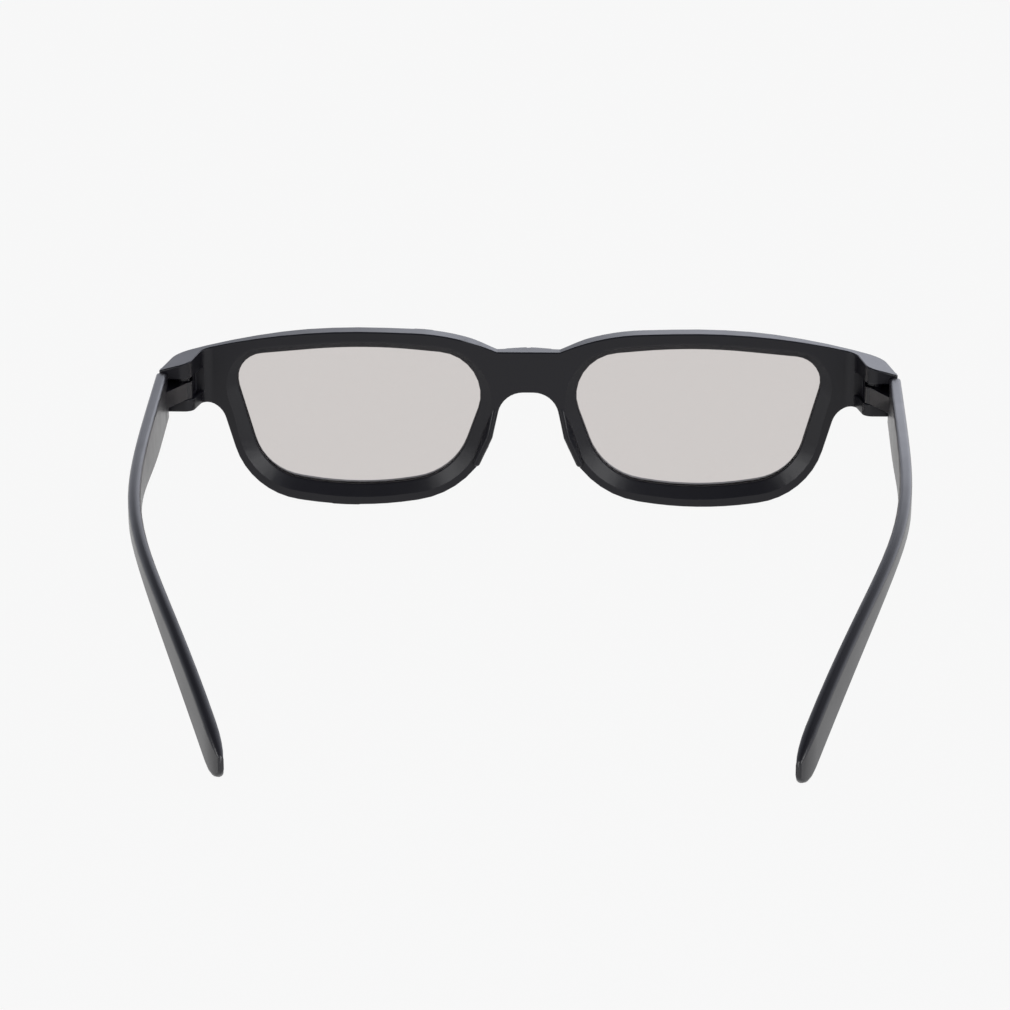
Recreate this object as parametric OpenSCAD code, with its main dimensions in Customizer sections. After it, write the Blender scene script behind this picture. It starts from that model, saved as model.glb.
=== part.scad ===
// Passive 3-D glasses: moulded front, two folding temples, hinge pins and laminated polarising lenses.
// Millimetres, +Z up. The glasses stand open on their rims and temple tips at Z = 0 and face +Y.
// The right-hand side is modelled and mirrored for the left.

/* [Lens openings] */
// Middle of a lens opening from the middle of the bridge
lens_x = 32; // [30:0.1:35]
// Width of an opening between its upper corners, before rounding
lens_top_w = 51.9; // [46:0.1:54]
// Width of an opening between its lower corners, before rounding
lens_low_w = 37; // [33:0.1:41]
// How far the lower corners stand outwards of the upper ones
lens_low_shift = 1; // [0:0.1:2]
// Height from the lower to the upper corners
lens_side_h = 23.4; // [20:0.1:26]
// Rise of the top edge above the upper corners, before rounding
lens_top_crown = 2.4; // [1.5:0.1:3.5]
// Fall of the bottom edge below the lower corners, before rounding
lens_low_crown = 3.2; // [2:0.1:4]
// Corner radius at the nose, above
lens_nose_top_r = 8.6; // [5:0.1:10]
// Corner radius at the temple, above
lens_outer_top_r = 5.2; // [3:0.1:8]
// Corner radius at the temple, below
lens_outer_low_r = 11; // [7:0.1:12]
// Corner radius at the nose, below
lens_nose_low_r = 12.8; // [8:0.1:14]
// Radius of the arched top edge
lens_top_r = 110; // [60:1:140]
// Radius of the arched bottom edge
lens_low_r = 60; // [40:1:70]

/* [Lens rims] */
// Rim at the lower nose corner, measured sideways
rim_nose = 4.8; // [4:0.1:6]
// Rim at the lower temple corner, measured sideways
rim_outer = 3; // [2:0.1:4.5]
// Rim under the lens
rim_low = 3.9; // [3.5:0.1:6]
// Rim under the lower nose corner
rim_low_nose = 3.3; // [3:0.1:5]
// Radius of the rim's lower nose corner
rim_nose_r = 18; // [12:0.5:20]
// Radius of the rim's lower temple corner
rim_outer_r = 15; // [10:0.5:16]
// Radius of the rim's arched bottom
rim_low_r = 70; // [50:1:80]
// Width of the sloped ring behind the lens, at the sides
bevel_side = 2.6; // [1.5:0.1:3]
// Width of the sloped ring above the lens
bevel_top = 1.3; // [0.8:0.1:2]
// Width of the sloped ring under the lens
bevel_low = 2.2; // [1.5:0.1:3]
// Depth of the sloped ring
bevel_d = 1.2; // [0.8:0.1:1.6]

/* [Bridge and brow] */
// Width of the flat top of the bridge
bridge_w = 12.2; // [9:0.1:15]
// Height of the bridge's top above the upper lens corners
bridge_rise = 1.4; // [0.5:0.1:2.5]
// Radius in the notch where the brow meets the bridge
bridge_notch_r = 0.6; // [0.3:0.1:1.5]
// Sideways run of the brow's first slope beside the bridge
brow_run = 8.4; // [6:0.1:10]
// Height of the brow's inner corner above the upper lens corners
brow_in_rise = 4.8; // [4:0.1:6]
// Height of the brow's outer corner above the upper lens corners
brow_out_rise = 5.8; // [5:0.1:7]
// Place of the brow's outer corner, outwards of the middle of the lens
brow_out_x = 16; // [12:0.1:18]
// Radius of the brow beside the bridge
brow_in_r = 43; // [25:1:48]
// Radius of the brow over the lens
brow_out_r = 138; // [100:1:145]
// Width of the nose arch under the bridge
nose_w = 9.8; // [8:0.1:12]
// Distance of the nose arch below the upper lens corners
nose_arch_drop = 6.7; // [5:0.1:9]
// Radius of the nose arch
nose_arch_r = 5; // [3:0.1:5.5]

/* [Front] */
// Width of the front across its hinge blocks
front_w = 140.8; // [136:0.2:150]
// Thickness of the front
front_t = 4; // [3.6:0.1:5]
// Depth of the hollow in the front face beside the bridge
bridge_hollow = 1.4; // [0.6:0.1:1.8]
// Sideways run of that hollow, towards the bridge and away from it
hollow_run = 5; // [4:0.1:5.5]
// Radius at the bottom and the edges of that hollow
hollow_r = 6; // [3:0.5:8]
// Half width of the flat part of the front face
front_flat = 45; // [38:0.5:50]
// Radius where the front face starts to sweep back
front_sweep_r = 60; // [20:1:80]

/* [Hinge blocks] */
// Height of a hinge block at its outer end
block_h = 8.7; // [8:0.1:11]
// Step of the block's top below the upper lens corners
block_drop = 0.1; // [0:0.1:1]
// Depth of a hinge block behind the rear face
block_d = 9.6; // [8.5:0.1:12]
// Width of a hinge block at its rear end
block_w = 5.8; // [5.4:0.1:8]
// Width of a hinge block at the rear face
block_root_w = 7.4; // [6:0.1:9]
// Thickness of the front at the hinge blocks
block_front_t = 1.7; // [1:0.1:2.5]
// Inward lean of the block's outer face
block_lean = 2; // [0.5:0.1:2.4]
// Radius of the block's front outer edge
block_front_r = 4; // [1:0.1:4.5]
// Radius of the block's rear inner edge
block_rear_r = 2.4; // [0.5:0.1:3]
// Radius where the block's inner side leaves the rear face
block_foot_r = 2.4; // [0.5:0.1:3]
// Radius under the block where it joins the rim
block_root_r = 4.5; // [2:0.1:5]
// Place of that joint, outwards of the upper lens corner
block_root_x = 1.9; // [1.5:0.1:4]
// Small radius on the block's outer end
block_end_r = 0.6; // [0.2:0.1:1]

/* [Hinges] */
// Distance of the hinge axis from the end of the front
hinge_in = 3.8; // [3.6:0.1:5]
// Distance of the hinge axis behind the rear face
hinge_back = 5.8; // [5.4:0.1:6.2]
// Diameter of a hinge pin
pin_d = 1.5; // [1:0.1:2]
// Radial play of the knuckle on its pin
pin_play = 0.05; // [0.02:0.01:0.09]
// Radial gap of the pin in the ears
pin_seat = 0.01; // [0.01:0.01:0.03]
// Depth of the pin's foot above the lower ear's face
pin_recess = 0.3; // [0.1:0.1:0.6]
// Depth of the pin's hole in the upper ear
pin_blind = 1.4; // [0.8:0.1:2]
// Thickness of the lower ear
ear_t = 2.4; // [2:0.1:3]
// Distance of the lower ear's rear edge behind the hinge axis
ear_back = 1.9; // [1.7:0.1:2.4]
// Radius of the lower ear's inner corner
ear_r = 2; // [0.5:0.1:2.4]
// Outer radius of the temple's knuckle
knuckle_r = 2.2; // [1.8:0.1:2.4]
// Height of the temple's knuckle
knuckle_h = 3.2; // [2.5:0.1:3.6]
// Gap above and below the knuckle
knuckle_gap = 0.1; // [0.05:0.05:0.3]
// Radius of the boss under the upper ear
boss_r = 1.7; // [1.3:0.1:2]
// Height of the boss under the upper ear
boss_h = 1.1; // [0.6:0.1:1.5]
// Gap around the swinging knuckle
swing_gap = 0.3; // [0.2:0.05:0.5]
// Gap between the block and the open temple
butt_gap = 0.3; // [0.2:0.05:0.6]
// Depth of solid block left behind the rear face, beside the knuckle slot
slot_web = 0.8; // [0.5:0.1:2]
// Width of the slot's inner pocket
slot_pocket = 1.6; // [1:0.1:2]
// Length of the knuckle tongue along the temple
tongue_l = 5; // [3:0.1:8]
// Angle at which the tongue leaves the knuckle
tongue_angle = 35; // [20:1:50]

/* [Nose pads] */
// Rearward rise of a nose pad
pad_rise = 1.2; // [0.8:0.1:2]
// How far a nose pad stands out past the nose edge
pad_out = 0.1; // [0.05:0.05:0.4]
// How far a nose pad's lower end turns away from the nose
pad_tuck = 1.15; // [0.2:0.05:1.5]
// Radius of a nose pad's rounded back
pad_r = 0.75; // [0.5:0.05:1]
// Height of a nose pad's lower end above the ground
pad_low_z = 8.2; // [7:0.1:11]
// Height of a nose pad's upper end above the ground
pad_high_z = 19.5; // [17:0.1:22]

/* [Temples] */
// Thickness of a temple
temple_t = 2.2; // [2:0.1:3.4]
// How far the temple stands out past the block
temple_proud = 0.4; // [0.2:0.1:0.8]
// Step of the temple's top below the upper lens corners
temple_drop = 0.5; // [0:0.1:1]
// Distance of the temple's tip behind the rear face
temple_reach = 139.2; // [125:0.1:155]
// Height of a temple at the hinge
temple_h = 9.3; // [8:0.1:11]
// Height of a temple at its waist
waist_h = 4; // [3.5:0.1:7]
// Height of a temple at the ear end
tip_h = 7.5; // [6:0.1:10]
// Distance behind the rear face where the temple starts to narrow
taper_start = 28.5; // [15:0.5:35]
// Distance behind the rear face of the waist
waist_y = 96.5; // [85:0.5:105]
// Distance behind the rear face where the ear end is full
tip_full_y = 134; // [120:0.5:138]
// Inward slope of the straight part, in mm per mm
toe_in = 0.056; // [0:0.001:0.1]
// Distance behind the rear face of the middle of the inward curve
plan_bend_y = 96; // [80:0.5:110]
// Further inward slope of the ear end, in mm per mm
tip_in = 0.425; // [0.2:0.005:0.6]
// Length over which the inward curve builds up
plan_soft = 10.4; // [6:0.1:14]
// Distance behind the rear face where the temple curves down
ear_bend_y = 30; // [15:0.5:50]
// Sharpness of the downward curve
ear_power = 3.8; // [2:0.05:5]
// Edge radius of a temple at the hinge
temple_edge = 0.6; // [0.3:0.05:1]
// Edge radius of a temple at the ear end
tip_edge = 1.1; // [0.6:0.05:1.2]
// Length of the rounded tip
tip_round = 4.5; // [2:0.1:6]
// Share of the tip's rounding that is on its top side
tip_top_share = 0.2; // [0:0.05:0.5]

/* [Lens films] */
// Thickness of the rear polariser sheet
polariser_t = 0.45; // [0.3:0.05:0.6]
// Thickness of the front quarter-wave sheet
retarder_t = 0.35; // [0.2:0.05:0.5]
// Depth of the lens groove into the rim
groove_d = 0.8; // [0.5:0.1:1]
// Distance of the lens groove from the rear face
groove_y = 1.7; // [1.6:0.1:2]
// Gap around the films in their groove
film_gap = 0.15; // [0.05:0.05:0.3]
// Free play of the films across the groove
film_play = 0.05; // [0.02:0.01:0.1]

/* [Hidden] */

plastic = [0.17, 0.17, 0.19];
film_grey = [0.78, 0.77, 0.75, 0.6];
steel = [0.62, 0.62, 0.64];

// Depth inside the front of the middle of a nose pad's rounded root
pad_root = 1;
// Points per rounded corner of an outline, and per quarter of a temple's edge
corner_steps = 8;
edge_steps = 3;
// Rings along a temple and around its tip
body_rings = 30;
tip_rings = 5;
// Part of a side that its fillets may take, and part of a section that its edge radius may take
fillet_share = 0.97;
edge_share = 0.9;
// Bluntness of the temple tip, and the least share of its thickness
blunt = 0.95;
tip_flat = 0.4;
// Overlap that lets cuts and joints run past a face
over = 1;

// Outline tools: a corner is [x, y, radius]; outlines turn clockwise
function unit(v) = v / norm(v);
function spot(corners, i) = let (c = corners[(i + len(corners)) % len(corners)]) [c.x, c.y];
function size_at(corners, i) = corners[(i + len(corners)) % len(corners)].z;
function arm(corners, i, step) = unit(spot(corners, i + step) - spot(corners, i));
function half_angle(corners, i) = acos(arm(corners, i, -1) * arm(corners, i, 1)) / 2;
function bisector(corners, i) = unit(arm(corners, i, -1) + arm(corners, i, 1));
function run_out(corners, i) = size_at(corners, i) / tan(half_angle(corners, i));
function side_share(corners, i) =
    let (room = fillet_share * norm(spot(corners, i + 1) - spot(corners, i)))
    min(1, room / (run_out(corners, i) + run_out(corners, i + 1)));
function corner_arc(corners, i) =
    let (
        half = half_angle(corners, i),
        radius = size_at(corners, i) * min(side_share(corners, i - 1), side_share(corners, i)),
        middle = spot(corners, i) + bisector(corners, i) * radius / sin(half),
        p = spot(corners, i) + arm(corners, i, -1) * radius / tan(half) - middle,
        q = spot(corners, i) + arm(corners, i, 1) * radius / tan(half) - middle,
        start = atan2(p.y, p.x),
        turn = atan2(cross(p, q), p * q)
    )
    [for (k = [0 : corner_steps])
        let (a = start + turn * k / corner_steps) middle + radius * [cos(a), sin(a)]];
function rounded(corners) = [for (i = [0 : len(corners) - 1]) each corner_arc(corners, i)];
function with_mirror(corners) =
    concat(corners, [for (i = [len(corners) - 1 : -1 : 0]) [-corners[i].x, corners[i].y, corners[i].z]]);
function smooth_step(from, to, v) = let (q = min(1, max(0, (v - from) / (to - from)))) q * q * (3 - 2 * q);

// Lens opening grown by the given widths, with its lower corners at height low_z
function lens_corners(low_z, side, top, low) =
    let (
        high_z = low_z + lens_side_h + top,
        foot_z = low_z - low,
        low_x = lens_x + lens_low_shift,
        half_top = lens_top_w / 2 + side,
        half_low = lens_low_w / 2 + side
    )
    [
        [lens_x - half_top, high_z, lens_nose_top_r + side],
        [lens_x, high_z + lens_top_crown, lens_top_r],
        [lens_x + half_top, high_z, lens_outer_top_r + side],
        [low_x + half_low, foot_z, lens_outer_low_r + side],
        [low_x, foot_z - lens_low_crown, lens_low_r],
        [low_x - half_low, foot_z, lens_nose_low_r + side]
    ];

// Right half of the front's outline, from the top of the bridge to the nose arch
function front_corners(low_z) =
    let (
        high_z = low_z + lens_side_h,
        low_x = lens_x + lens_low_shift,
        block_top = high_z - block_drop,
        block_foot = block_top - block_h
    )
    [
        [bridge_w / 2, high_z + bridge_rise, bridge_notch_r],
        [bridge_w / 2 + brow_run, high_z + brow_in_rise, brow_in_r],
        [lens_x + brow_out_x, high_z + brow_out_rise, brow_out_r],
        [front_w / 2, block_top, block_end_r],
        [front_w / 2, block_foot, block_end_r],
        [lens_x + lens_top_w / 2 + block_root_x, block_foot, block_root_r],
        [low_x + lens_low_w / 2 + rim_outer, low_z - rim_low, rim_outer_r],
        [low_x, low_z - lens_low_crown - rim_low, rim_low_r],
        [low_x - lens_low_w / 2 - rim_nose, low_z - rim_low_nose, rim_nose_r],
        [nose_w / 2, high_z - nose_arch_drop, nose_arch_r]
    ];

// The rims stand on the ground, so the lowest point of the outline sets every height
low_z = -min([for (p = rounded(with_mirror(front_corners(0)))) p.y]);
high_z = low_z + lens_side_h;
outline = with_mirror(front_corners(low_z));

// Right half of the front seen from above, with its rear face at y = 0
plan = with_mirror([
    [bridge_w / 2 - hollow_run, front_t, hollow_r],
    [bridge_w / 2, front_t - bridge_hollow, hollow_r],
    [bridge_w / 2 + hollow_run, front_t, hollow_r],
    [front_flat, front_t, front_sweep_r],
    [front_w / 2 - block_lean, block_front_t, block_front_r],
    [front_w / 2, -block_d, block_end_r],
    [front_w / 2 - block_w, -block_d, block_rear_r],
    [front_w / 2 - block_root_w, 0, block_foot_r]
]);

// Hinge heights, from the lower ear upwards
hinge_x = front_w / 2 - hinge_in;
block_foot_z = high_z - block_drop - block_h;
slot_low_z = block_foot_z + ear_t;
knuckle_z = slot_low_z + knuckle_gap;
boss_z = knuckle_z + knuckle_h + knuckle_gap;
slot_high_z = boss_z + boss_h;
pin_top_z = slot_high_z + pin_blind;
slot_r = knuckle_r + swing_gap;

// Lens groove and films
groove_w = polariser_t + retarder_t + film_play;
groove_front = groove_y + groove_w;
film_d = groove_d - film_gap;

// Nose edge between the arch and the lower rim corner
nose_high = [nose_w / 2, high_z - nose_arch_drop];
nose_low = [lens_x + lens_low_shift - lens_low_w / 2 - rim_nose, low_z - rim_low_nose];
function nose_x(z) = nose_low.x + (nose_high.x - nose_low.x) * (z - nose_low.y) / (nose_high.y - nose_low.y);

// Temple, by distance s behind the rear face
temple_start = block_d + butt_gap;
temple_z = high_z - temple_drop;
temple_x0 = front_w / 2 + temple_proud - temple_t / 2;
tip_start = temple_reach - tip_round;
function bend(from, power, s) = pow(max(0, (s - from) / (temple_reach - from)), power);
function soft_bend(s) = plan_soft * ln(1 + exp((s - plan_bend_y) / plan_soft));
function temple_x(s) =
    temple_x0 - toe_in * (s - temple_start) - tip_in * (soft_bend(s) - soft_bend(temple_start));
function temple_height(s) =
    temple_h
    + (waist_h - temple_h) * smooth_step(taper_start, waist_y, s)
    + (tip_h - waist_h) * smooth_step(waist_y, tip_full_y, s);
function tip_scale(s) = sqrt(1 - pow(blunt * max(0, (s - tip_start) / tip_round), 2));
function high_side(s) = temple_height(s) * tip_top_share * (1 - tip_scale(s));
function low_side(s) = high_side(s) + temple_height(s) * tip_scale(s);
stations = concat(
    [for (i = [0 : body_rings]) temple_start + (tip_start - temple_start) * i / body_rings],
    [for (i = [1 : tip_rings]) tip_start + tip_round * sin(90 * i / tip_rings)]
);
// Fall of the ear end that brings its lowest point down to the ground
ear_fall = min([for (s = stations)
    if (s > tip_start - tip_round) (temple_z - low_side(s)) / bend(ear_bend_y, ear_power, s)]);
function temple_top(s) = temple_z - ear_fall * bend(ear_bend_y, ear_power, s);
function temple_ring(s) =
    let (
        ahead = [temple_x(s + 0.1) - temple_x(s - 0.1), -0.2],
        side = unit([-ahead.y, ahead.x]),
        half_t = temple_t / 2 * max(tip_flat, tip_scale(s)),
        half_h = temple_height(s) / 2 * tip_scale(s),
        mid_z = temple_top(s) - high_side(s) - half_h,
        soft = temple_edge + (tip_edge - temple_edge) * smooth_step(ear_bend_y, tip_full_y, s),
        edge = min(soft, edge_share * min(half_t, half_h))
    )
    [for (corner = [0 : 3]) for (k = [0 : edge_steps])
        let (
            a = 90 * (corner + k / edge_steps),
            across = (half_t - edge) * (corner == 0 || corner == 3 ? 1 : -1) + edge * cos(a),
            up = (half_h - edge) * (corner < 2 ? 1 : -1) + edge * sin(a)
        )
        [temple_x(s) + side.x * across, -s + side.y * across, mid_z + up]];
temple_rings = [for (s = stations) temple_ring(s)];

// Shift that puts the origin under the middle of the glasses
rear_y = min([for (ring = temple_rings) for (p = ring) p.y]);
mid_y = -(front_t + rear_y) / 2;

// Solid through a row of rings that turn anticlockwise about their direction of travel
module skin(rings) {
    n = len(rings[0]);
    last = len(rings) - 1;
    sides = [for (i = [0 : last - 1]) for (j = [0 : n - 1])
        let (a = i * n + j, b = i * n + (j + 1) % n)
        each [[a, b + n, b], [a, a + n, b + n]]];
    ends = [[for (j = [0 : n - 1]) j], [for (j = [n - 1 : -1 : 0]) last * n + j]];
    polyhedron([for (ring = rings) each ring], concat(sides, ends));
}

// Upright outline (x, z) as a ring at depth y
function upright(points, y) = [for (p = points) [p.x, y, p.y]];

// Upright outline extruded from depth y over the given thickness
module upright_plate(corners, y, thickness) {
    translate([0, y + thickness, 0])
        rotate([90, 0, 0])
            linear_extrude(thickness)
                polygon(rounded(corners));
}

module at_origin() {
    translate([0, mid_y, 0])
        children();
}

module left_side() {
    mirror([1, 0, 0])
        children();
}

module both_sides() {
    children();
    left_side()
        children();
}

module front_body() {
    intersection() {
        upright_plate(outline, -block_d - over, front_t + block_d + 2 * over);
        translate([0, 0, -over])
            linear_extrude(high_z + brow_out_rise + 2 * over)
                polygon(rounded(plan));
    }
}

// Opening, sloped ring behind the lens and the groove that holds the films
module lens_cut() {
    past = 1 + over / bevel_d;
    opening = rounded(lens_corners(low_z, 0, 0, 0));
    skin([
        upright(rounded(lens_corners(low_z, bevel_side * past, bevel_top * past, bevel_low * past)), -over),
        upright(opening, bevel_d),
        upright(opening, front_t + over)
    ]);
    upright_plate(lens_corners(low_z, groove_d, groove_d, groove_d), groove_y, groove_w);
}

module pad_ball(z, rise, out) {
    for (y = [pad_r - rise, pad_root])
        translate([nose_x(z) + pad_r - out, y, z])
            sphere(pad_r, $fn = 24);
}
module nose_pad() {
    low_z = pad_low_z + pad_r;
    hull() {
        pad_ball(pad_high_z, 0, 0);
        pad_ball((low_z + pad_high_z) / 2, pad_rise, pad_out);
        pad_ball(low_z, pad_rise, pad_out - pad_tuck);
    }
}

// Room for the knuckle between the ears, open behind and towards the lens
module hinge_slot() {
    slot_h = slot_high_z - slot_low_z;
    block_inside = front_w / 2 - block_root_w - over;
    difference() {
        translate([0, 0, slot_low_z]) {
            translate([hinge_x, -hinge_back, 0])
                cylinder(r = slot_r, h = slot_h, $fn = 48);
            translate([block_inside, -block_d - over, 0])
                cube([hinge_x + slot_r - block_inside, block_d + over - hinge_back, slot_h]);
            translate([block_inside, -block_d - over, 0])
                cube([slot_pocket + over, block_d + over - slot_web, slot_h]);
        }
        translate([hinge_x, -hinge_back, boss_z])
            cylinder(r = boss_r, h = boss_h + over, $fn = 48);
    }
}

// Trims the lower ear round the pin, inside the block's outer wall
module ear_trim() {
    ear_d = hinge_back + ear_back;
    root_x = front_w / 2 - block_root_w;
    inner_x = root_x + (block_root_w - block_w) * ear_d / block_d;
    wall_x = hinge_x + slot_r;
    translate([0, 0, block_foot_z - over])
        difference() {
            translate([root_x - over, -block_d - over, 0])
                cube([wall_x - root_x + over, block_d + over - hinge_back, ear_t + 2 * over]);
            linear_extrude(ear_t + 2 * over)
                polygon(rounded([
                    [root_x, 0, 0],
                    [wall_x + over, 0, 0],
                    [wall_x + over, -ear_d, 0],
                    [inner_x, -ear_d, ear_r]
                ]));
        }
}

module pin_hole(r, from, to) {
    translate([hinge_x, -hinge_back, from])
        cylinder(r = r, h = to - from, $fn = 48);
}

module front_frame() {
    color(plastic)
        at_origin()
            difference() {
                union() {
                    difference() {
                        front_body();
                        both_sides()
                            lens_cut();
                        both_sides()
                            hinge_slot();
                        both_sides()
                            ear_trim();
                    }
                    both_sides()
                        nose_pad();
                }
                both_sides()
                    pin_hole(pin_d / 2 + pin_seat, block_foot_z - over, pin_top_z);
            }
}

// Knuckle round the pin, with the tongue that runs back along the temple's inner face
module knuckle() {
    inner_x = temple_x0 - temple_t / 2;
    translate([0, 0, knuckle_z]) {
        translate([hinge_x, -hinge_back, 0])
            cylinder(r = knuckle_r, h = knuckle_h, $fn = 48);
        linear_extrude(knuckle_h)
            polygon([
                [hinge_x + knuckle_r, -hinge_back],
                [hinge_x + knuckle_r, -temple_start - tongue_l],
                [inner_x, -temple_start - tongue_l],
                [hinge_x - knuckle_r * sin(tongue_angle), -hinge_back - knuckle_r * cos(tongue_angle)],
                [hinge_x, -hinge_back]
            ]);
    }
}

module temple() {
    difference() {
        union() {
            skin(temple_rings);
            knuckle();
        }
        pin_hole(pin_d / 2 + pin_play, knuckle_z - over, knuckle_z + knuckle_h + over);
    }
}

module right_temple() {
    color(plastic)
        at_origin()
            temple();
}

module left_temple() {
    color(plastic)
        at_origin()
            left_side()
                temple();
}

module hinge_pin() {
    pin_hole(pin_d / 2, block_foot_z + pin_recess, pin_top_z - pin_recess);
}

module right_hinge_pin() {
    color(steel)
        at_origin()
            hinge_pin();
}

module left_hinge_pin() {
    color(steel)
        at_origin()
            left_side()
                hinge_pin();
}

module film(front_y, thickness) {
    upright_plate(lens_corners(low_z, film_d, film_d, film_d), front_y - thickness, thickness);
}

module right_retarder_film() {
    color(film_grey)
        at_origin()
            film(groove_front, retarder_t);
}

module left_retarder_film() {
    color(film_grey)
        at_origin()
            left_side()
                film(groove_front, retarder_t);
}

module right_polariser_film() {
    color(film_grey)
        at_origin()
            film(groove_front - retarder_t, polariser_t);
}

module left_polariser_film() {
    color(film_grey)
        at_origin()
            left_side()
                film(groove_front - retarder_t, polariser_t);
}

front_frame();
left_temple();
right_temple();
left_hinge_pin();
right_hinge_pin();
left_polariser_film();
right_polariser_film();
left_retarder_film();
right_retarder_film();
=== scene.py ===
import math

import bmesh
import bpy
from mathutils import Matrix, Vector


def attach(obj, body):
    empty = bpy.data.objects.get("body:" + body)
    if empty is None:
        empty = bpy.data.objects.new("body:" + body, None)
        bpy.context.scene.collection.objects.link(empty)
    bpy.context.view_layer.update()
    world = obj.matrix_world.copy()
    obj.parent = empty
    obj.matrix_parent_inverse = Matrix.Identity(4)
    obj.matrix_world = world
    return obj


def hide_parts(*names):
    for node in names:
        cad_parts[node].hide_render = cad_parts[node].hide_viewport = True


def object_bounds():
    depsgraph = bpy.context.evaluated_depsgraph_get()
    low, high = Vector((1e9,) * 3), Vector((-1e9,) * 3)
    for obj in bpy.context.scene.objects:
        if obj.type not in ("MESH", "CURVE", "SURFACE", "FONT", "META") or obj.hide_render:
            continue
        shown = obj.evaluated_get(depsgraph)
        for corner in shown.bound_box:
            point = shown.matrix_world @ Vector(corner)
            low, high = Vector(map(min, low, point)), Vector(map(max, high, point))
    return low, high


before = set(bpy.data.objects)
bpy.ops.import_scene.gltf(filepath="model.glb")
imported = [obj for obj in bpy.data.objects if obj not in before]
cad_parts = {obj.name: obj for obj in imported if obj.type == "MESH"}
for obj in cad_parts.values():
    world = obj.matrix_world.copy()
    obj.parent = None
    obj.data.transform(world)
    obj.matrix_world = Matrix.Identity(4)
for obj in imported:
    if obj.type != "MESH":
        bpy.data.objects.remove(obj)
CAD_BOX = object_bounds()

bl_info = {
    "name": "3-D Glasses",
    "version": (1, 0, 0),
    "blender": (4, 5, 0),
    "location": "View3D > Sidebar > Glasses",
    "description": "Dresses a pair of passive 3-D glasses and sets a plain studio round them",
    "category": "Object",
}

MM = 0.001
SIDES = ("left", "right")
FRONT_T = 4 * MM
# The camera and the pads are placed from the rear face of the front's flat lands.
REAR_Y = CAD_BOX[1][1] - FRONT_T
# The right nose pad lies in this box, measured from the rear face.
PAD_BOX = ((6 * MM, -2 * MM, 7.5 * MM), (11.5 * MM, 2 * MM, 20.5 * MM))
# Points nearer than this are one point, and faces that meet at less than this angle lie in one plane.
WELD = 0.02 * MM
FILM_WELD = 0.002 * MM
LEVEL_ANGLE = math.radians(0.3)
# A face beside a rounded edge is at least this share of the radius wide.
SLIVER_SHARE = 0.8
# The lamps that light the rims: size, place of the right one, and what they point at.
LAMP_SIZE = (0.3, 0.25)
LAMP_PLACE = (0.37, -0.44, 0.19)
LAMP_AIM = (0, 0.07, 0.02)


def linear(hex_colour):
    """sRGB hex, such as #F8F8F8, as linear red, green and blue."""
    parts = [int(hex_colour[i:i + 2], 16) / 255 for i in (1, 3, 5)]
    return tuple(c / 12.92 if c <= 0.04045 else ((c + 0.055) / 1.055) ** 2.4 for c in parts)


def add_node(tree, kind, place, settings=None, inputs=None, links=None):
    """Adds one node: settings are its properties, inputs its socket values, links its input to an output."""
    node = tree.nodes.new(kind)
    node.location = place
    for name, value in (settings or {}).items():
        setattr(node, name, value)
    for name, value in (inputs or {}).items():
        node.inputs[name].default_value = value
    for name, output in (links or {}).items():
        tree.links.new(output, node.inputs[name])
    return node


def new_material(name):
    """An empty node material and its tree."""
    material = bpy.data.materials.new(name)
    material.use_nodes = True
    material.node_tree.nodes.clear()
    return material, material.node_tree


def moulded_abs(name, settings, shine):
    """Black ABS from a satin-blasted moulding tool: dark body, fine grain, bright only at grazing angles."""
    material, tree = new_material(name)
    place = add_node(tree, "ShaderNodeTexCoord", (-900, 0))
    # A noise scale of 1 is one cell per metre, so 1 / spacing gives one cell per grain of the blasted tool.
    # Real grain is about 0.1 mm apart; it is drawn coarser so that it shows.
    grain = add_node(
        tree, "ShaderNodeTexNoise", (-700, 0),
        inputs={"Scale": 1 / settings.grain, "Detail": 2.0, "Roughness": 0.55},
        links={"Vector": place.outputs["Object"]},
    )
    # Where the melt cooled unevenly the skin is a little duller, in patches some millimetres wide.
    mottle = add_node(
        tree, "ShaderNodeTexNoise", (-700, -260),
        inputs={"Scale": 1 / settings.mottle, "Detail": 3.0},
        links={"Vector": place.outputs["Object"]},
    )
    sheen = add_node(
        tree, "ShaderNodeMapRange", (-480, -260),
        inputs={"To Min": settings.roughness - 0.05, "To Max": settings.roughness + 0.05},
        links={"Value": mottle.outputs["Fac"]},
    )
    bump = add_node(
        tree, "ShaderNodeBump", (-480, 0),
        inputs={"Strength": 0.2, "Distance": settings.grain_depth},
        links={"Height": grain.outputs["Fac"]},
    )
    body = add_node(
        tree, "ShaderNodeBsdfPrincipled", (-220, 0),
        inputs={
            "Base Color": (*settings.plastic, 1.0),
            "IOR": 1.5,
            "Specular IOR Level": shine,
            "Coat Weight": settings.skin,
            "Coat Roughness": 0.25,
        },
        links={"Roughness": sheen.outputs["Result"], "Normal": bump.outputs["Normal"]},
    )
    add_node(tree, "ShaderNodeOutputMaterial", (60, 0), links={"Surface": body.outputs["BSDF"]})
    return material


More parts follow.
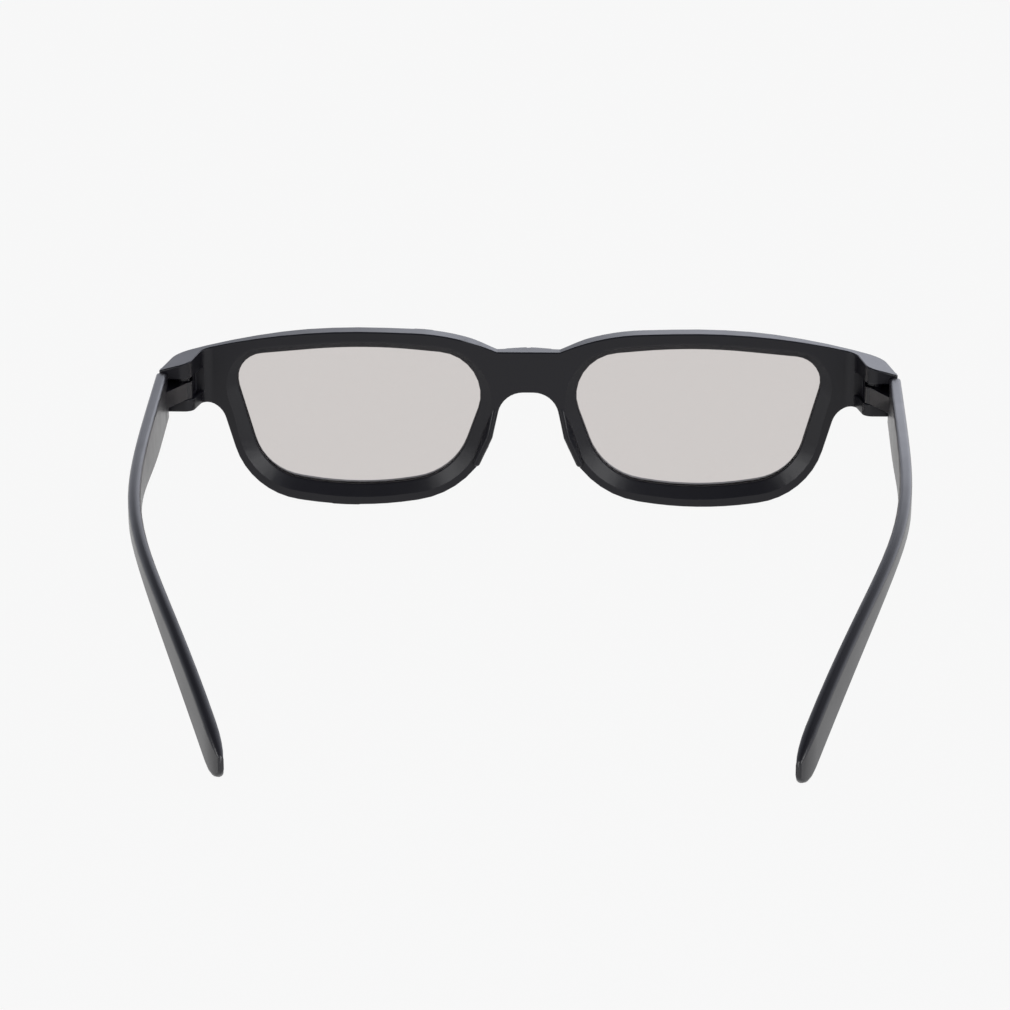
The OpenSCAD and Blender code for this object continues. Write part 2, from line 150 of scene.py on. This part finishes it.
def polarising_sheet(settings):
    """Acetate laminate with a stretched polarising core: clear, flat, neutral grey, with faint drawn lines."""
    material, tree = new_material("polarising_acetate_sheet")
    place = add_node(tree, "ShaderNodeTexCoord", (-1100, 0))
    # The core is drawn out sideways: cells one line high and 40 lines long.
    fine = 1 / settings.stretch_line
    stretch = add_node(
        tree, "ShaderNodeMapping", (-900, 0),
        inputs={"Scale": (fine / 40, fine, fine)},
        links={"Vector": place.outputs["Object"]},
    )
    lines = add_node(
        tree, "ShaderNodeTexNoise", (-700, 0),
        inputs={"Scale": 1.0, "Detail": 2.0}, links={"Vector": stretch.outputs["Vector"]},
    )
    gloss = add_node(
        tree, "ShaderNodeMapRange", (-500, 0),
        inputs={"To Min": 0.01, "To Max": 0.05}, links={"Value": lines.outputs["Fac"]},
    )
    sheet = add_node(
        tree, "ShaderNodeBsdfPrincipled", (-280, 0),
        inputs={"Base Color": (*settings.lens, 1.0), "IOR": 1.48, "Transmission Weight": 1.0},
        links={"Roughness": gloss.outputs["Result"]},
    )
    # Lamp light goes straight through, tinted, so the sheet casts a pale shadow.
    path = add_node(tree, "ShaderNodeLightPath", (-280, 340))
    clear = add_node(tree, "ShaderNodeBsdfTransparent", (-280, -420), inputs={"Color": (*settings.lens, 1.0)})
    mix = add_node(
        tree, "ShaderNodeMixShader", (40, 0),
        links={0: path.outputs["Is Shadow Ray"], 1: sheet.outputs["BSDF"], 2: clear.outputs["BSDF"]},
    )
    add_node(tree, "ShaderNodeOutputMaterial", (240, 0), links={"Surface": mix.outputs[0]})
    return material


def drawn_steel(settings):
    """Plain drawn steel wire, cut to length: grey metal with fine lines along the pin."""
    material, tree = new_material("drawn_steel_wire")
    place = add_node(tree, "ShaderNodeTexCoord", (-900, 0))
    stretch = add_node(
        tree, "ShaderNodeMapping", (-700, 0),
        inputs={"Scale": (1 / settings.draw_line, 1 / settings.draw_line, 20.0)},
        links={"Vector": place.outputs["Object"]},
    )
    lines = add_node(
        tree, "ShaderNodeTexNoise", (-500, 0),
        inputs={"Scale": 1.0}, links={"Vector": stretch.outputs["Vector"]},
    )
    rough = add_node(
        tree, "ShaderNodeMapRange", (-300, 0),
        inputs={"To Min": 0.28, "To Max": 0.42},
        links={"Value": lines.outputs["Fac"]},
    )
    body = add_node(
        tree, "ShaderNodeBsdfPrincipled", (-80, 0),
        inputs={"Base Color": (*settings.steel, 1.0), "Metallic": 1.0},
        links={"Roughness": rough.outputs["Result"]},
    )
    add_node(tree, "ShaderNodeOutputMaterial", (200, 0), links={"Surface": body.outputs["BSDF"]})
    return material


def dress(piece, material):
    """Gives the piece one material."""
    piece.data.materials.clear()
    piece.data.materials.append(material)


def clean_copy(node, name, crease):
    """A new piece of the node's shape: seams joined, thin triangles swapped, smooth up to the crease."""
    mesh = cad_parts[node].data.copy()
    mesh.name = name
    work = bmesh.new()
    work.from_mesh(mesh)
    bmesh.ops.remove_doubles(work, verts=work.verts, dist=WELD)
    work.normal_update()
    level = [e for e in work.edges if len(e.link_faces) == 2 and e.calc_face_angle(0) < LEVEL_ANGLE]
    bmesh.ops.beautify_fill(work, faces=work.faces, edges=level, method="ANGLE")
    work.to_mesh(mesh)
    work.free()
    if mesh.attributes.get("custom_normal"):
        mesh.attributes.remove(mesh.attributes["custom_normal"])
    mesh.shade_smooth()
    mesh.set_sharp_from_angle(angle=crease)
    piece = bpy.data.objects.new(name, mesh)
    bpy.context.scene.collection.objects.link(piece)
    return piece


def on_pad(place):
    """Whether a point is on one of the nose pads: their box, mirrored about the middle."""
    low, high = PAD_BOX
    point = (abs(place.x), place.y - REAR_Y, place.z)
    return all(low[i] < point[i] < high[i] for i in range(3))


def soften_edges(piece, settings):
    """Rounds the sharp edges as moulding does, but no slivers and no nose pads, which are round already."""
    work = bmesh.new()
    work.from_mesh(piece.data)
    work.normal_update()
    share = work.edges.layers.float.new("bevel_weight_edge")
    for edge in work.edges:
        if len(edge.link_faces) != 2 or edge.calc_face_angle(0) < settings.edge_angle:
            continue
        narrow = min(face.calc_area() for face in edge.link_faces) / edge.calc_length()
        if narrow > SLIVER_SHARE * settings.edge_radius and not all(on_pad(v.co) for v in edge.verts):
            edge[share] = 1.0
    work.to_mesh(piece.data)
    work.free()
    bevel = piece.modifiers.new("moulded_edges", "BEVEL")
    bevel.width = settings.edge_radius
    bevel.segments = 3
    bevel.limit_method = "WEIGHT"
    bevel.use_clamp_overlap = False
    bevel.loop_slide = False


def keep_flats(piece):
    """Shades broad faces flat, so that only the rounded edges between them turn the light."""
    normals = piece.modifiers.new("flat_faces", "WEIGHTED_NORMAL")
    normals.keep_sharp = True


class GlassesFinish(bpy.types.PropertyGroup):
    """Colours and finishes of the glasses."""
    plastic: bpy.props.FloatVectorProperty(
        name="Plastic", description="Colour of the moulded plastic", subtype="COLOR",
        size=3, min=0, max=1, default=linear("#0B0A12"),
    )
    shine: bpy.props.FloatProperty(
        name="Shine", description="Strength of the front's soft reflection", default=0.2, min=0, max=1,
    )
    arm_shine: bpy.props.FloatProperty(
        name="Temple shine", description="Strength of the temples' soft reflection", default=0.45, min=0, max=1,
    )
    roughness: bpy.props.FloatProperty(
        name="Roughness", description="Roughness of the plastic", default=0.38, min=0, max=1,
    )
    skin: bpy.props.FloatProperty(
        name="Skin", description="Strength of the glossy skin left by the tool", default=0.3, min=0, max=1,
    )
    grain: bpy.props.FloatProperty(
        name="Grain", description="Spacing of the moulded grain", default=0.4 * MM, unit="LENGTH",
    )
    grain_depth: bpy.props.FloatProperty(
        name="Grain depth", description="Depth of the moulded grain", default=0.006 * MM, unit="LENGTH",
    )
    mottle: bpy.props.FloatProperty(
        name="Mottle", description="Size of the patches of different sheen", default=6 * MM, unit="LENGTH",
    )
    lens: bpy.props.FloatVectorProperty(
        name="Lens", description="Tint of the lens laminate", subtype="COLOR",
        size=3, min=0, max=1, default=linear("#D3CECC"),
    )
    stretch_line: bpy.props.FloatProperty(
        name="Stretch lines", description="Spacing of the lines in the lens laminate", default=0.5 * MM,
        unit="LENGTH",
    )
    steel: bpy.props.FloatVectorProperty(
        name="Steel", description="Colour of the hinge pins", subtype="COLOR",
        size=3, min=0, max=1, default=linear("#C4C4C6"),
    )
    draw_line: bpy.props.FloatProperty(
        name="Draw lines", description="Spacing of the lines on the pins", default=0.1 * MM, unit="LENGTH",
    )
    edge_radius: bpy.props.FloatProperty(
        name="Edge radius", description="Radius of the front's moulded edges",
        default=0.25 * MM, unit="LENGTH",
    )
    crease: bpy.props.FloatProperty(
        name="Crease", description="Edges of the front sharper than this show as creases",
        default=math.radians(18), subtype="ANGLE",
    )
    arm_crease: bpy.props.FloatProperty(
        name="Temple crease", description="Edges of the temples sharper than this show as creases",
        default=math.radians(86), subtype="ANGLE",
    )
    edge_angle: bpy.props.FloatProperty(
        name="Edge angle", description="Edges sharper than this are rounded", default=math.radians(38),
        subtype="ANGLE",
    )


class GlassesStage(bpy.types.PropertyGroup):
    """Camera, floor and light round the glasses."""
    ground: bpy.props.FloatVectorProperty(
        name="Ground", description="Colour of the floor", subtype="COLOR",
        size=3, min=0, max=1, default=linear("#FAFAFA"),
    )
    floor_size: bpy.props.FloatProperty(
        name="Floor size", description="Side of the floor", default=6.0, unit="LENGTH",
    )
    aim_x: bpy.props.FloatProperty(
        name="Aim", description="Sideways place of the point in the middle of the picture",
        default=-4.515 * MM, unit="LENGTH",
    )
    aim_z: bpy.props.FloatProperty(
        name="Aim height", description="Height of the point in the middle of the picture",
        default=0.141 * MM, unit="LENGTH",
    )
    distance: bpy.props.FloatProperty(
        name="Distance", description="Distance of the camera from the rear face", default=0.6, unit="LENGTH",
    )
    elevation: bpy.props.FloatProperty(
        name="Elevation", description="Height angle of the camera",
        default=math.radians(17.772), subtype="ANGLE",
    )
    yaw: bpy.props.FloatProperty(
        name="Yaw", description="Sideways angle of the camera", default=math.radians(1.622), subtype="ANGLE",
    )
    roll: bpy.props.FloatProperty(
        name="Roll", description="Tilt of the camera", default=math.radians(0.035), subtype="ANGLE",
    )
    lens: bpy.props.FloatProperty(
        name="Focal length", description="Focal length on a sensor 36 mm wide", default=109.07, subtype="NONE",
    )
    light_colour: bpy.props.FloatVectorProperty(
        name="Light", description="Colour of the surroundings' light, a little cool", subtype="COLOR",
        size=3, min=0, max=1, default=linear("#F0F3FF"),
    )
    backdrop_level: bpy.props.FloatProperty(
        name="Backdrop", description="Brightness of the surroundings low behind the glasses",
        default=1.2, min=0,
    )
    overhead_level: bpy.props.FloatProperty(
        name="Overhead", description="Brightness of the surroundings straight above", default=0.35, min=0,
    )
    camera_side: bpy.props.FloatProperty(
        name="Camera side", description="Share of that brightness on the camera's side", default=0.3, min=0,
    )
    left_side: bpy.props.FloatProperty(
        name="Left side", description="Share of that brightness on the left", default=0.75, min=0,
    )
    right_side: bpy.props.FloatProperty(
        name="Right side", description="Share of that brightness on the right", default=1.45, min=0,
    )
    rim_power: bpy.props.FloatProperty(
        name="Rim light", description="Power of each lamp beside the camera, which lights the bevelled rims",
        default=1.1, min=0, unit="POWER",
    )
    card_grey: bpy.props.FloatProperty(
        name="Card", description="How much lamp light the floor gives back", default=0.35, min=0, max=1,
    )
    card_share: bpy.props.FloatProperty(
        name="Shadow share", description="Share of the floor's brightness that shadows take away",
        default=0.03, min=0, max=1,
    )


class GLASSES_OT_front(bpy.types.Operator):
    """Make the moulded front with its rims, bridge, nose pads and hinge blocks"""
    bl_idname = "glasses.front"
    bl_label = "Front"

    def execute(self, context):
        settings = context.scene.glasses_finish
        piece = clean_copy("front_frame", "front", settings.crease)
        soften_edges(piece, settings)
        keep_flats(piece)
        dress(piece, moulded_abs("front_black_abs", settings, settings.shine))
        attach(piece, "front")
        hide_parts("front_frame")
        return {"FINISHED"}


class GLASSES_OT_temples(bpy.types.Operator):
    """Make both temples, each on a body of its own"""
    bl_idname = "glasses.temples"
    bl_label = "Temples"

    def execute(self, context):
        settings = context.scene.glasses_finish
        material = moulded_abs("temple_black_abs", settings, settings.arm_shine)
        for side in SIDES:
            piece = clean_copy(side + "_temple", side + "_arm", settings.arm_crease)
            keep_flats(piece)
            dress(piece, material)
            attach(piece, side + "_arm")
            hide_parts(side + "_temple")
        return {"FINISHED"}


class GLASSES_OT_lenses(bpy.types.Operator):
    """Make each lens as one laminated sheet"""
    bl_idname = "glasses.lenses"
    bl_label = "Lenses"

    def execute(self, context):
        settings = context.scene.glasses_finish
        material = polarising_sheet(settings)
        for side in SIDES:
            layers = (side + "_polariser_film", side + "_retarder_film")
            mesh = bpy.data.meshes.new(side + "_lens")
            work = bmesh.new()
            for layer in layers:
                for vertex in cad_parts[layer].data.vertices:
                    work.verts.new(vertex.co)
            bmesh.ops.remove_doubles(work, verts=work.verts, dist=FILM_WELD)
            hull = bmesh.ops.convex_hull(work, input=work.verts)
            inner = [g for g in hull["geom_interior"] if isinstance(g, bmesh.types.BMVert)]
            bmesh.ops.delete(work, geom=inner, context="VERTS")
            bmesh.ops.recalc_face_normals(work, faces=work.faces)
            work.to_mesh(mesh)
            work.free()
            piece = bpy.data.objects.new(side + "_lens", mesh)
            context.scene.collection.objects.link(piece)
            dress(piece, material)
            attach(piece, "front")
            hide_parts(*layers)
        return {"FINISHED"}


class GLASSES_OT_pins(bpy.types.Operator):
    """Finish the hinge pins"""
    bl_idname = "glasses.pins"
    bl_label = "Hinge pins"

    def execute(self, context):
        material = drawn_steel(context.scene.glasses_finish)
        for side in SIDES:
            dress(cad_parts[side + "_hinge_pin"], material)
        return {"FINISHED"}


def add_lamp(name, power, size, place, aim):
    """Adds one flat lamp that faces the aim point."""
    lamp = bpy.data.lights.new(name, "AREA")
    lamp.shape = "RECTANGLE"
    lamp.energy = power
    lamp.size, lamp.size_y = size
    holder = bpy.data.objects.new(name, lamp)
    holder.location = place
    holder.rotation_euler = (Vector(aim) - Vector(place)).to_track_quat("-Z", "Y").to_euler()
    bpy.context.scene.collection.objects.link(holder)


def floor_finish(settings):
    """Matt white card: seen plain by the camera, lit by the lamps for everything else."""
    material, tree = new_material("matt_white_card")
    path = add_node(tree, "ShaderNodeLightPath", (-900, 200))
    seen = add_node(
        tree, "ShaderNodeMath", (-680, 200), settings={"operation": "MAXIMUM"},
        links={0: path.outputs["Is Camera Ray"], 1: path.outputs["Is Glossy Ray"]},
    )
    shown = add_node(
        tree, "ShaderNodeMath", (-480, 200), settings={"operation": "MAXIMUM"},
        links={0: seen.outputs[0], 1: path.outputs["Is Transmission Ray"]},
    )
    card = add_node(
        tree, "ShaderNodeBsdfDiffuse", (-480, -40), inputs={"Color": (*[settings.card_grey] * 3, 1.0)}
    )
    glow = add_node(
        tree, "ShaderNodeEmission", (-480, -200), inputs={"Color": (*settings.ground, 1.0), "Strength": 1.0}
    )
    share = add_node(
        tree, "ShaderNodeMath", (-260, 200), settings={"operation": "MULTIPLY"},
        inputs={1: 1 - settings.card_share}, links={0: shown.outputs[0]},
    )
    mix = add_node(
        tree, "ShaderNodeMixShader", (-40, 0),
        links={0: share.outputs[0], 1: card.outputs[0], 2: glow.outputs[0]},
    )
    add_node(tree, "ShaderNodeOutputMaterial", (180, 0), links={"Surface": mix.outputs[0]})
    return material


class GLASSES_OT_stage(bpy.types.Operator):
    """Set the floor, the lamps, the surroundings and the camera"""
    bl_idname = "glasses.stage"
    bl_label = "Stage"

    def execute(self, context):
        settings = context.scene.glasses_stage
        scene = context.scene
        scene.view_settings.view_transform = "Standard"
        half = settings.floor_size / 2
        mesh = bpy.data.meshes.new("floor")
        corners = [(-half, -half, 0), (half, -half, 0), (half, half, 0), (-half, half, 0)]
        mesh.from_pydata(corners, [], [(0, 1, 2, 3)])
        floor = bpy.data.objects.new("floor", mesh)
        scene.collection.objects.link(floor)
        dress(floor, floor_finish(settings))

        world = bpy.data.worlds.new("white_studio")
        world.use_nodes = True
        tree = world.node_tree
        tree.nodes.clear()
        # Bright low behind the glasses, dim overhead and on the camera's side, so sloping tops fade.
        way = add_node(tree, "ShaderNodeTexCoord", (-900, 0))
        axes = add_node(tree, "ShaderNodeSeparateXYZ", (-700, 0), links={"Vector": way.outputs["Generated"]})
        height = add_node(
            tree, "ShaderNodeMapRange", (-480, 120), settings={"interpolation_type": "SMOOTHSTEP"},
            inputs={
                "From Min": 0.25, "From Max": 0.95,
                "To Min": settings.backdrop_level, "To Max": settings.overhead_level,
            },
            links={"Value": axes.outputs["Z"]},
        )
        depth = add_node(
            tree, "ShaderNodeMapRange", (-480, -160), settings={"interpolation_type": "SMOOTHSTEP"},
            inputs={"From Min": -0.6, "From Max": 0.4, "To Min": settings.camera_side, "To Max": 1.0},
            links={"Value": axes.outputs["Y"]},
        )
        level = add_node(
            tree, "ShaderNodeMath", (-240, 0), settings={"operation": "MULTIPLY"},
            links={0: height.outputs["Result"], 1: depth.outputs["Result"]},
        )
        # Dim from 9 degrees left of straight ahead, full from 1 degree right of it: the right tops are lighter.
        left_to_right = add_node(
            tree, "ShaderNodeMapRange", (-240, -420), settings={"interpolation_type": "SMOOTHSTEP"},
            inputs={
                "From Min": -0.16, "From Max": 0.02,
                "To Min": settings.left_side, "To Max": settings.right_side,
            },
            links={"Value": axes.outputs["X"]},
        )
        total = add_node(
            tree, "ShaderNodeMath", (-20, -200), settings={"operation": "MULTIPLY"},
            links={0: level.outputs[0], 1: left_to_right.outputs["Result"]},
        )
        light = add_node(
            tree, "ShaderNodeBackground", (180, 0),
            inputs={"Color": (*settings.light_colour, 1.0)}, links={"Strength": total.outputs[0]},
        )
        # Seen straight on or through a lens the surroundings are as plain as the floor, with no horizon.
        path = add_node(tree, "ShaderNodeLightPath", (-20, 340))
        seen = add_node(
            tree, "ShaderNodeMath", (180, 340), settings={"operation": "MAXIMUM"},
            links={0: path.outputs["Is Camera Ray"], 1: path.outputs["Is Transmission Ray"]},
        )
        plain = add_node(
            tree, "ShaderNodeBackground", (180, -160),
            inputs={"Color": (*settings.ground, 1.0), "Strength": 1 - settings.card_share / 2},
        )
        shown = add_node(
            tree, "ShaderNodeMixShader", (400, 0),
            links={0: seen.outputs[0], 1: light.outputs[0], 2: plain.outputs[0]},
        )
        add_node(tree, "ShaderNodeOutputWorld", (600, 0), links={"Surface": shown.outputs[0]})
        scene.world = world

        across, along, above = LAMP_PLACE
        for name, side in zip(SIDES, (-1, 1)):
            place = (side * across, along, above)
            add_lamp(name + "_card", settings.rim_power, LAMP_SIZE, place, LAMP_AIM)

        yaw, elevation = settings.yaw, settings.elevation
        forward = Vector((
            -math.sin(yaw) * math.cos(elevation),
            math.cos(yaw) * math.cos(elevation),
            -math.sin(elevation),
        ))
        sideways = Vector((math.cos(yaw), math.sin(yaw), 0))
        rise = sideways.cross(forward)
        right = sideways * math.cos(settings.roll) - rise * math.sin(settings.roll)
        up = sideways * math.sin(settings.roll) + rise * math.cos(settings.roll)
        camera = bpy.data.cameras.new("camera")
        camera.lens = settings.lens
        camera.sensor_width = 36
        holder = bpy.data.objects.new("camera", camera)
        turn = Matrix((right, up, -forward)).transposed().to_4x4()
        aim = Vector((settings.aim_x, REAR_Y, settings.aim_z))
        holder.matrix_world = Matrix.Translation(aim - forward * settings.distance) @ turn
        scene.collection.objects.link(holder)
        scene.camera = holder
        return {"FINISHED"}


class GLASSES_PT_panel(bpy.types.Panel):
    """Lists the pieces of the glasses and the stage"""
    bl_idname = "GLASSES_PT_panel"
    bl_label = "3-D glasses"
    bl_space_type = "VIEW_3D"
    bl_region_type = "UI"
    bl_category = "Glasses"

    def draw(self, context):
        for group in (context.scene.glasses_finish, context.scene.glasses_stage):
            for name in group.__annotations__:
                self.layout.prop(group, name)
        for operator in OPERATORS:
            self.layout.operator(operator.bl_idname)


OPERATORS = (GLASSES_OT_front, GLASSES_OT_temples, GLASSES_OT_lenses, GLASSES_OT_pins, GLASSES_OT_stage)
CLASSES = (GlassesFinish, GlassesStage, *OPERATORS, GLASSES_PT_panel)


def register():
    for item in CLASSES:
        bpy.utils.register_class(item)
    bpy.types.Scene.glasses_finish = bpy.props.PointerProperty(type=GlassesFinish)
    bpy.types.Scene.glasses_stage = bpy.props.PointerProperty(type=GlassesStage)


def unregister():
    del bpy.types.Scene.glasses_stage
    del bpy.types.Scene.glasses_finish
    for item in reversed(CLASSES):
        bpy.utils.unregister_class(item)


def main():
    register()
    bpy.ops.glasses.front()
    bpy.ops.glasses.temples()
    bpy.ops.glasses.lenses()
    bpy.ops.glasses.pins()
    bpy.ops.glasses.stage()


if __name__ == "__main__":
    main()
